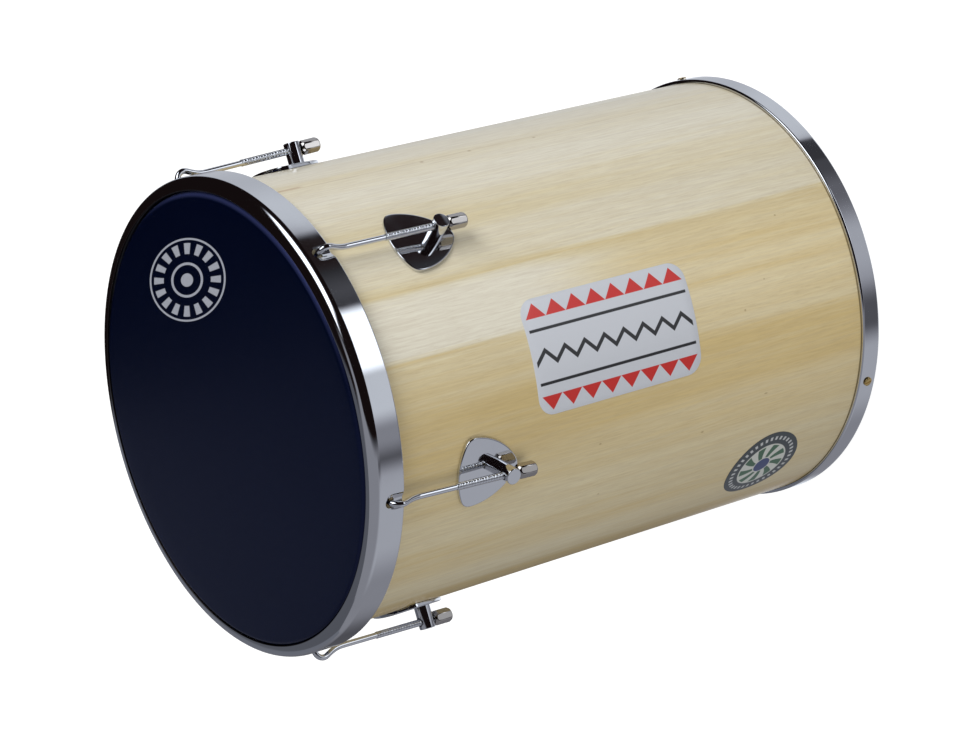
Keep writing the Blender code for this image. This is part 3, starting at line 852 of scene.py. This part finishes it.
def screw(size, place, slotTurn=0):
    # a slotted pan head, seat at the local origin, head towards +Z
    head = size["head"]
    tall = size["height"]
    shank = size["shank"]
    profile = [(0, tall)]
    profile += [(head * math.sin(a), tall * (0.45 + 0.55 * math.cos(a))) for a in
                [math.radians(10 * i) for i in range(1, 10)]]
    profile += [(head, 0.0), (shank, 0.0), (shank, size["tip"] + shank), (0, size["tip"])]
    form = bmesh.new()
    bmesh.ops.create_cube(form, size=1)
    bmesh.ops.scale(form, vec=(head * 3, size["slot"], size["deep"] * 2), verts=form.verts)
    turn = Matrix.Rotation(math.radians(slotTurn), 4, "Z")
    bmesh.ops.transform(form, matrix=place @ Matrix.Translation((0, 0, tall)) @ turn, verts=form.verts)
    return cut(turned(profile, False, 48, place), toMesh(form))


def makeLugs():
    first = drum["lugFirst"]
    newPiece("lugPlates", copiesRound(makePlate(), chrome, first), chrome, "drum_body", "chrome",
             *allNodes("lug_plate"))
    newPiece("lugPosts", copiesRound(makePost(), chrome, first), chrome, "drum_body", "chrome",
             *allNodes("lug_post"))
    size = washerSizes
    seat = station() @ Matrix.Translation((size["out"], 0, 0)) @ inward
    ring = rounded([(size["radius"], size["thickness"]), (size["radius"], 0), (size["hole"], 0),
                    (size["hole"], size["thickness"])], 0.0002, 3)
    newPiece("lugWashers", copiesRound(turned(ring, True, 48, seat), zinc, first), zinc, "drum_body", "zinc",
             *allNodes("lug_washer"))
    out = size["out"] - size["thickness"] - drum["gap"]
    fixing = dict(lugScrewSizes, tip=-(lugScrewSizes["tip"] - out))
    place = station() @ Matrix.Translation((out, 0, 0)) @ inward
    newPiece("lugScrews", copiesRound(screw(fixing, place, 25), zinc, first), zinc, "drum_body", "zinc",
             *allNodes("lug_screw"))


makeLugs()
print("lugs made")


# Tuning nuts: long six-sided nuts, each on its own body
nutSizes = {
    "flats": 0.009, "corner": 0.00508, "length": 0.0138, "nose": 0.0038, "noseLength": 0.0018,
    "end": 0.0043, "endLength": 0.0011, "bore": 0.0031, "chamfer": 0.0004, "steps": 96,
}


def makeNut(index):
    size = nutSizes
    top = -postSizes["radius"] - drum["gap"]
    low = top - size["length"]
    wide = size["corner"]
    heights = [(top, size["nose"])]
    heights += [(top - size["noseLength"] * t, size["nose"] + (wide - size["nose"]) * t)
                for t in (0.2, 0.4, 0.6, 0.8, 1.0)]
    heights += [(low + size["endLength"] * t, size["end"] + (wide - size["end"]) * t)
                for t in (1.0, 0.75, 0.5, 0.25)]
    heights += [(low, size["end"])]
    steps = size["steps"]
    form = bmesh.new()
    rings = []
    for height, limit in heights:
        ring = []
        for i in range(steps):
            turn = 2 * math.pi * i / steps
            within = (turn % (math.pi / 3)) - math.pi / 6
            radius = min(size["flats"] / 2 / math.cos(within), limit)
            ring.append(form.verts.new((radius * math.cos(turn), radius * math.sin(turn), height)))
        rings.append(ring)
    bore = [(low, size["bore"] + size["chamfer"]), (low + size["chamfer"], size["bore"]),
            (top - size["chamfer"], size["bore"]), (top, size["bore"] + size["chamfer"])]
    for height, radius in bore:
        turns = [2 * math.pi * i / steps for i in range(steps)]
        rings.append([form.verts.new((radius * math.cos(a), radius * math.sin(a), height)) for a in turns])
    for i, ring in enumerate(rings):
        below = rings[(i + 1) % len(rings)]
        for j in range(steps):
            k = (j + 1) % steps
            form.faces.new((ring[k], ring[j], below[j], below[k]))
    bmesh.ops.transform(form, matrix=rodFrame(lugTurn(index)), verts=form.verts)
    mesh = toMesh(form)
    newPiece(f"tuningNut{index + 1}", mesh, nickel, f"nut_{index + 1}", "nickel", f"tuning_nut_{index + 1}")


for index in range(drum["lugCount"]):
    makeNut(index)
print("nuts made")


# Rear band: a rolled chrome strip over the open end, held by three slotted brass screws
bandSizes = {
    "outer": 0.1545, "sheet": 0.0012, "height": 0.015, "round": 0.0014, "hold": 0.0002, "lip": 0.1524,
    "flange": 0.1453,
    "screwHeight": 0.0075, "screwTurns": (114, 234, 354), "slotTurns": (70, 12, 40),
}
bandScrewSizes = {"head": 0.0032, "height": 0.0012, "shank": 0.0014, "tip": -0.0072, "slot": 0.0008,
                  "deep": 0.0006}


def makeBand():
    size = bandSizes
    outer = size["outer"]
    sheet = size["sheet"]
    bend = size["round"]
    wall = outer - sheet
    profile = [(size["lip"], size["height"])]
    profile += arc((outer - bend, size["height"] - bend), bend, 90, 0, 6)
    profile += [(outer, size["height"] - bend - size["hold"]), (outer, bend + size["hold"])]
    profile += arc((outer - bend, bend), bend, 0, -90, 6)
    profile += [(size["flange"], 0), (size["flange"], sheet), (wall, sheet), (wall, size["height"] - sheet),
                (size["lip"], size["height"] - sheet)]
    newPiece("rearBand", turned(profile), chrome, "drum_body", "chrome", "rear_band")
    for i, (turn, slot) in enumerate(zip(size["screwTurns"], size["slotTurns"])):
        place = Matrix.Rotation(math.radians(turn), 4, "Z") @ \
            Matrix.Translation((outer + drum["gap"], 0, size["screwHeight"])) @ toRod
        mesh = screw(bandScrewSizes, place, slot)
        newPiece(f"rearBandScrew{i + 1}", mesh, brass, "drum_body", "brass", f"rear_band_screw_{i + 1}")


makeBand()
print("rear band made")


# Printed stickers on the shell: plain ornament in red, white and black, and a small round one
stickerSizes = {
    "long": 0.138, "wide": 0.077, "round": 0.012, "height": 0.2305, "turn": 264.6, "thickness": 0.00022,
    "smallRadius": 0.0308, "smallHeight": 0.0860, "smallTurn": 213.5,
}


def paintSticker():
    paint = Paint("shellSticker")
    along, across, _ = paint.axes(paint.add("ShaderNodeUVMap", {"uv_map": "sticker"}))
    red = (0.60, 0.03, 0.025)
    black = (0.02, 0.02, 0.022)
    white = (0.62, 0.645, 0.70)
    saw = paint.add("ShaderNodeMath", {"operation": "PINGPONG"}, {0: along, 1: 0.00825})
    off = abs(across)
    band = off.between(0.0255, 0.0375, 0.0002)
    teeth = (off - 0.0255 - saw * 1.2).under(0.0, 0.0003) * band
    zigzag = abs(across + 0.0045 - saw).under(0.0019, 0.0002)
    rails = off.between(0.0165, 0.0185, 0.0002)
    inside = abs(along).under(0.066, 0.0002)
    colour = paint.mix(teeth * inside, white, red)
    colour = paint.mix(rails * inside, colour, black)
    colour = paint.mix(zigzag * inside, colour, black)
    return paint.surface(Base_Color=colour, Roughness=0.35, Coat_Weight=0.4)


def paintRoundSticker():
    paint = Paint("roundSticker")
    along, across, _ = paint.axes(paint.add("ShaderNodeUVMap", {"uv_map": "sticker"}))
    far = (along * along + across * across) ** 0.5
    turn = paint.add("ShaderNodeMath", {"operation": "ARCTAN2"}, {0: across, 1: along})
    wave = paint.add("ShaderNodeMath", {"operation": "SINE"}, {0: turn * 9 + far * 160})
    size = stickerSizes["smallRadius"]
    colour = paint.mix(far.over(size * 0.66, 0.0003), (0.62, 0.64, 0.60), (0.035, 0.045, 0.05))
    petals = wave.over(0.0, 0.15) * far.between(size * 0.25, size * 0.62, 0.0003)
    colour = paint.mix(petals, colour, (0.04, 0.12, 0.06))
    dots = paint.add("ShaderNodeMath", {"operation": "SINE"}, {0: turn * 36}).over(0.1, 0.3)
    colour = paint.mix(dots * far.between(size * 0.78, size * 0.88, 0.0003), colour, (0.55, 0.57, 0.58))
    colour = paint.mix(far.under(size * 0.22, 0.0003), colour, (0.03, 0.05, 0.16))
    return paint.surface(Base_Color=colour, Roughness=0.35, Coat_Weight=0.4)


def sticker(name, outline, height, turn, material):
    # a thin printed film that follows the shell; its UV map is in metres from its middle
    form = bmesh.new()
    layer = form.loops.layers.uv.new("sticker")
    base = drum["shellRadius"]
    thick = stickerSizes["thickness"]
    rows = [(1.0, 0.00002), (1.0, thick * 0.6), (0.996, thick)]
    rows += [(1 - 0.1 * i, thick) for i in range(1, 10)]
    rings = []
    flat = {}

    def spot(u, v, out):
        angle = math.radians(turn) + v / base
        radius = base + out
        vert = form.verts.new((radius * math.cos(angle), radius * math.sin(angle), height - u))
        flat[vert] = (u, v)
        return vert

    for scale, out in rows:
        rings.append([spot(u * scale, v * scale, out) for u, v in outline])
    for first, second in zip(rings, rings[1:]):
        for i in range(len(first)):
            j = (i + 1) % len(first)
            form.faces.new((first[i], first[j], second[j], second[i]))
    hub = spot(0, 0, thick)
    under = spot(0, 0, 0.00002)
    for i in range(len(outline)):
        j = (i + 1) % len(outline)
        form.faces.new((rings[-1][i], rings[-1][j], hub))
        form.faces.new((rings[0][j], rings[0][i], under))
    bmesh.ops.recalc_face_normals(form, faces=form.faces)
    for face in form.faces:
        for loop in face.loops:
            loop[layer].uv = flat[loop.vert]
    newPiece(name, toMesh(form), material, "drum_body", "badge")


def makeStickers():
    size = stickerSizes
    halfLong = size["long"] / 2
    halfWide = size["wide"] / 2
    box = rounded([(-halfLong, halfWide), (halfLong, halfWide), (halfLong, -halfWide), (-halfLong, -halfWide)],
                  size["round"], 8)
    dense = []
    for i, point in enumerate(box):
        here = Vector(point)
        there = Vector(box[(i + 1) % len(box)])
        parts = max(1, round((there - here).length / 0.006))
        dense += [tuple(here.lerp(there, j / parts)) for j in range(parts)]
    sticker("shellSticker", dense, size["height"], size["turn"], paintSticker())
    sticker("roundSticker", arc((0, 0), size["smallRadius"], 0, 356, 90), size["smallHeight"],
            size["smallTurn"], paintRoundSticker())


makeStickers()
print("stickers made")


# Studio: a pale floor, three soft lamps, and walls that only reflections see, with soft cards and dark gaps
studio = {
    "floorSize": 12.0, "middle": 0.22, "wallRadius": 8.0, "worldLight": 0.33, "wallTone": 0.28,
    "floorGlow": 0.91, "floorCatch": 0.3, "floorTone": 0.42,
}
lamps = {
    "keyLamp": {"turn": 328, "rise": 38, "distance": 5.0, "size": (3.4, 2.6), "power": 175},
    "fillLamp": {"turn": 235, "rise": 12, "distance": 4.0, "size": (2.6, 2.0), "power": 42},
    "backLamp": {"turn": 90, "rise": 22, "distance": 4.0, "size": (2.6, 2.0), "power": 60},
}
# each card: its turn and half width, its lowest and highest rise, its tone and how soft its edges are;
# climb tilts its top and bottom
cards = [
    {"turn": 104, "half": 38, "low": -39, "high": 40, "tone": 0.17, "soft": 12, "softRise": 4},
    {"turn": 80, "half": 30, "low": -91, "high": -37, "tone": 1.0, "soft": 14, "softRise": 4},
    {"turn": 205, "half": 26, "low": -91, "high": 0, "tone": 0.45, "soft": 12, "softRise": 14},
    {"turn": 38, "half": 58, "low": -24, "high": 80, "tone": 0.006, "soft": 8, "softRise": 4},
    {"turn": 320, "half": 78, "low": -26, "high": 75, "tone": 0.006, "soft": 6, "softRise": 2},
    {"turn": 25, "half": 48, "low": -91, "high": -24.5, "tone": 0.56, "soft": 8, "softRise": 1.5, "climb": 0.18},
    {"turn": 2, "half": 24, "low": -99, "high": -28.6, "tone": 0.69, "soft": 16, "softRise": 1.5, "climb": 0.18},
    {"turn": 112, "half": 20, "low": -38, "high": -22, "tone": 0.09, "soft": 10, "softRise": 2},
    {"turn": 326, "half": 22, "low": -36, "high": -24, "tone": 0.015, "soft": 3, "softRise": 2},
    {"turn": 274, "half": 20, "low": -91, "high": -36, "tone": 0.47, "soft": 14, "softRise": 2},
    {"turn": 236, "half": 12, "low": -91, "high": -36, "tone": 0.10, "soft": 8, "softRise": 2},
    {"turn": 312, "half": 20, "low": -91, "high": -36, "tone": 0.15, "soft": 12, "softRise": 2},
    {"turn": 321, "half": 9, "low": -91, "high": -36, "tone": 0.075, "soft": 6, "softRise": 2},
    {"turn": 331, "half": 7.3, "low": -91, "high": -36, "tone": 0.045, "soft": 1.5, "softRise": 2},
    {"turn": 314, "half": 8, "low": -36, "high": -26, "tone": 0.08, "soft": 9, "softRise": 2},
    {"turn": 264, "half": 12, "low": -38, "high": -26, "tone": 0.68, "soft": 5, "softRise": 2},
    {"turn": 234, "half": 4, "low": -80, "high": 0, "tone": 0.1, "soft": 5, "softRise": 6},
    {"turn": 289.5, "half": 14.5, "low": -35, "high": -25.5, "tone": 1.7, "soft": 3, "softRise": 1.5},
    {"turn": 333, "half": 25.5, "low": 19, "high": 56, "tone": 2.8, "soft": 6, "softRise": 6, "climb": -0.3},
]
# a pale screen behind the drum, near enough to show on one side of the head only
screen = {"left": -1.7, "right": 0.08, "behind": 1.0, "low": 0.3, "high": 1.9, "tone": 0.115, "soft": 0.03,
          "colour": (0.92, 0.97, 1.15), "foot": 0.90, "footTone": 0.19}


def toward(turn, rise):
    flat = math.cos(math.radians(rise))
    return Vector((flat * math.cos(math.radians(turn)), flat * math.sin(math.radians(turn)),
                   math.sin(math.radians(rise))))


def makeLamp(name, look):
    data = bpy.data.lights.new(name, "AREA")
    data.shape = "RECTANGLE"
    data.size, data.size_y = look["size"]
    data.energy = look["power"]
    lamp = bpy.data.objects.new(name, data)
    bpy.context.scene.collection.objects.link(lamp)
    way = toward(look["turn"], look["rise"])
    place = Vector((0, 0, studio["middle"])) + way * look["distance"]
    lamp.matrix_world = Matrix.Translation(place) @ way.to_track_quat("Z", "Y").to_matrix().to_4x4()
    lamp.visible_glossy = False


def seenRays(nodes):
    # 1 for what the camera sees, in metal and through glass too
    rays = nodes.add("ShaderNodeLightPath")
    outputs = rays.socket.node.outputs
    seen = Wire(nodes, outputs["Is Camera Ray"])
    for kind in ("Is Glossy Ray", "Is Transmission Ray"):
        seen = seen.maths("MAXIMUM", seen, Wire(nodes, outputs[kind]))
    return seen


def makeFloor():
    form = bmesh.new()
    bmesh.ops.create_grid(form, x_segments=1, y_segments=1, size=studio["floorSize"] / 2)
    bmesh.ops.translate(form, vec=(0, 0, -0.0002), verts=form.verts)
    mesh = toMesh(form)
    paint = Paint("studioFloor")
    paint.surface(Base_Color=(studio["floorTone"],) * 3, Roughness=0.9)
    glow = paint.add("ShaderNodeEmission", {}, {"Color": (1, 1, 1, 1), "Strength": studio["floorGlow"]})
    matt = paint.add("ShaderNodeBsdfDiffuse", {}, {"Color": (*(studio["floorCatch"],) * 3, 1)})
    shown = paint.add("ShaderNodeAddShader", {}, {0: glow, 1: matt})
    final = paint.add("ShaderNodeMixShader", {}, {0: seenRays(paint), 1: Wire(paint, paint.shader.outputs[0]),
                                                  2: shown})
    paint.tree.links.new(final.socket, paint.tree.nodes["Material Output"].inputs[0])
    paint.material.cycles.emission_sampling = "NONE"
    mesh.materials.append(paint.material)
    floor = bpy.data.objects.new("studioFloor", mesh)
    bpy.context.scene.collection.objects.link(floor)
    floor.visible_glossy = False


def onlyReflected(name, mesh, paint, level, colour):
    # a glowing surface that shows in reflections and nowhere else
    glow = paint.add("ShaderNodeEmission", {}, {"Color": colour, "Strength": level})
    paint.tree.links.new(glow.socket, paint.tree.nodes["Material Output"].inputs[0])
    paint.material.cycles.emission_sampling = "NONE"
    mesh.materials.append(paint.material)
    surface = bpy.data.objects.new(name, mesh)
    bpy.context.scene.collection.objects.link(surface)
    for kind in ("camera", "diffuse", "shadow", "transmission", "volume_scatter"):
        setattr(surface, f"visible_{kind}", False)
    return glow


def makeWalls():
    form = bmesh.new()
    bmesh.ops.create_icosphere(form, subdivisions=5, radius=studio["wallRadius"])
    bmesh.ops.translate(form, vec=(0, 0, studio["middle"]), verts=form.verts)
    bmesh.ops.reverse_faces(form, faces=form.faces)
    mesh = toMesh(form)
    paint = Paint("studioWalls")
    x, y, z = paint.axes(paint.place())
    z = z - studio["middle"]
    far = (x * x + y * y + z * z) ** 0.5
    rise = paint.add("ShaderNodeMath", {"operation": "ARCSINE"}, {0: z / far}) * math.degrees(1)
    level = studio["wallTone"]
    for card in cards:
        off = paint.around(x, y, card["turn"])
        mask = abs(off).under(card["half"], card["soft"])
        mask = mask * (rise - off * card.get("climb", 0)).between(card["low"], card["high"], card["softRise"])
        level = level + mask * (card["tone"] - level)
    # its lighter parts are a little bluer and its darkest ones warmer
    colour = paint.mix(level.over(0.02, 0.015), (1.4, 0.88, 0.9), (0.97, 0.98, 1.13))
    colour = paint.mix(level.over(0.4, 0.4), colour, (0.94, 0.99, 1.08))
    onlyReflected("studioWalls", mesh, paint, level, colour)


def makeScreen():
    size = screen
    corners = [(size["left"], size["low"]), (size["right"], size["low"]), (size["right"], size["high"]),
               (size["left"], size["high"])]
    form = bmesh.new()
    form.faces.new([form.verts.new((x, size["behind"], z)) for x, z in corners])
    paint = Paint("studioScreen")
    x, _, z = paint.axes(paint.place())
    clear = paint.add("ShaderNodeBsdfTransparent")
    level = size["tone"] + z.under(size["foot"], 0.05) * (size["footTone"] - size["tone"])
    glow = onlyReflected("studioScreen", toMesh(form), paint, level, (*size["colour"], 1))
    final = paint.add("ShaderNodeMixShader", {}, {0: x.over(size["right"] - size["soft"], size["soft"]), 1: glow,
                                                  2: clear})
    paint.tree.links.new(final.socket, paint.tree.nodes["Material Output"].inputs[0])


def makeWorld():
    world = bpy.data.worlds.new("studioWorld")
    bpy.context.scene.world = world
    world.use_nodes = True
    sky = Nodes(world.node_tree)
    strength = studio["worldLight"] + seenRays(sky) * (1 - studio["worldLight"])
    background = world.node_tree.nodes["Background"]
    sky.feed(background.inputs["Strength"], strength)
    background.inputs["Color"].default_value = (1, 1, 1, 1)


makeFloor()
makeWalls()
makeScreen()
makeWorld()
for name, look in lamps.items():
    makeLamp(name, look)
bpy.context.scene.view_settings.view_transform = "Standard"
print("studio lit")
